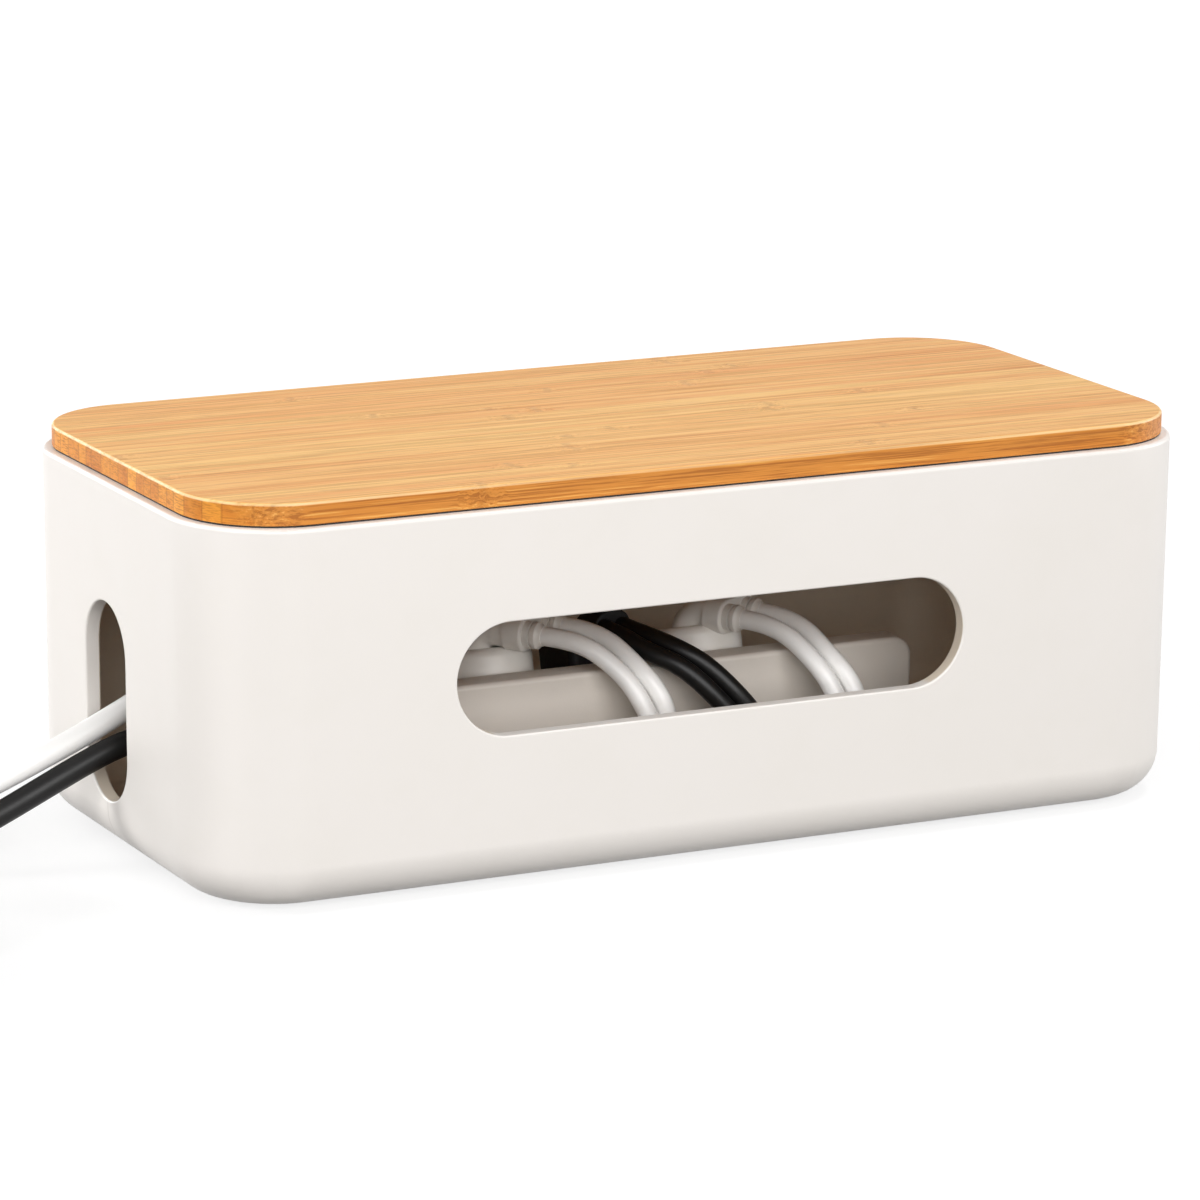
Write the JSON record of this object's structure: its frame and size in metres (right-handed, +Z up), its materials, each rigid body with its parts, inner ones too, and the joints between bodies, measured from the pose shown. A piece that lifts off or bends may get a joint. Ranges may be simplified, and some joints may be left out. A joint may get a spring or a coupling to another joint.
{
  "type": "cable management box",
  "caption": "Rounded white cable management box with a lift-off bamboo lid, a long front window, end cable slots, and a five-way power strip with plugs and cables inside.",
  "frame": {"origin": "centre of the box footprint, on the surface that the rubber feet stand on", "axes": "+X along the length of the box towards the end without cords, -Y out of the wall with the long window, +Z up"},
  "size_m": [0.486, 0.2003, 0.1177],
  "materials": {
    "tub_plastic": "warm white moulded plastic, fine satin grain",
    "rubber": "black rubber",
    "bamboo": "laminated bamboo strips along the lid, clear satin varnish",
    "bamboo_batten": "planed bamboo",
    "screw_steel": "zinc-plated steel",
    "strip_plastic": "light grey-beige moulded plastic",
    "socket_plastic": "moulded plastic",
    "brass": "bare stamped brass",
    "plug_plastic": "soft moulded white plastic",
    "blade_metal": "nickel-plated",
    "collar_plastic": "white plastic",
    "white_flex": "white flexible cable sheath",
    "black_flex": "black flexible cable sheath",
    "white_connector": "white moulded plastic",
    "black_plastic": "black moulded plastic",
    "tie": "black hook-and-loop tape"
  },
  "bodies": {
    "box": {"connector_left_front": "white_connector", "connector_left_rear": "white_connector", "connector_middle_front": "black_plastic", "connector_middle_rear": "black_plastic", "connector_right_front": "white_connector", "connector_right_rear": "white_connector", "connector_tips_left": "blade_metal", "connector_tips_middle": "blade_metal", "connector_tips_right": "blade_metal", "device_coil": "white_flex", "device_coil_tie": "tie", "device_connector": "white_connector", "device_flex": "white_flex", "device_plug_blades": "blade_metal", "device_plug_body": "plug_plastic", "earth_rail": "brass", "lead_left_front": "white_flex", "lead_left_rear": "white_flex", "lead_middle_front": "black_flex", "lead_middle_rear": "black_flex", "lead_right_front": "white_flex", "lead_right_rear": "white_flex", "live_rail": "brass", "mains_coil": "black_flex", "mains_coil_tie": "tie", "mains_flex": "black_flex", "mains_plug_blades": "blade_metal", "mains_plug_body": "black_plastic", "neutral_rail": "brass", "plug_left_blades": "blade_metal", "plug_left_body": "plug_plastic", "plug_left_collars": "collar_plastic", "plug_middle_blades": "blade_metal", "plug_middle_body": "black_plastic", "plug_right_blades": "blade_metal", "plug_right_body": "plug_plastic", "plug_right_collars": "collar_plastic", "rubber_feet": "rubber", "socket_1": "socket_plastic", "socket_2": "socket_plastic", "socket_3": "socket_plastic", "socket_4": "socket_plastic", "socket_5": "socket_plastic", "strip_base": "strip_plastic", "strip_cover": "strip_plastic", "strip_pads": "rubber", "strip_relief": "black_plastic", "strip_screws": "screw_steel", "tub": "tub_plastic"},
    "lid": {"lid_panel": "bamboo", "lid_seal": "rubber", "lid_batten_front": "bamboo_batten", "lid_batten_rear": "bamboo_batten", "lid_batten_left": "bamboo_batten", "lid_batten_right": "bamboo_batten", "lid_screws": "screw_steel"}
  },
  "joints": [
    {"name": "lid_lift", "type": "slide", "parent": "box", "child": "lid", "axis": [0, 0, 1], "range_m": [0, 0.09]}
  ]
}
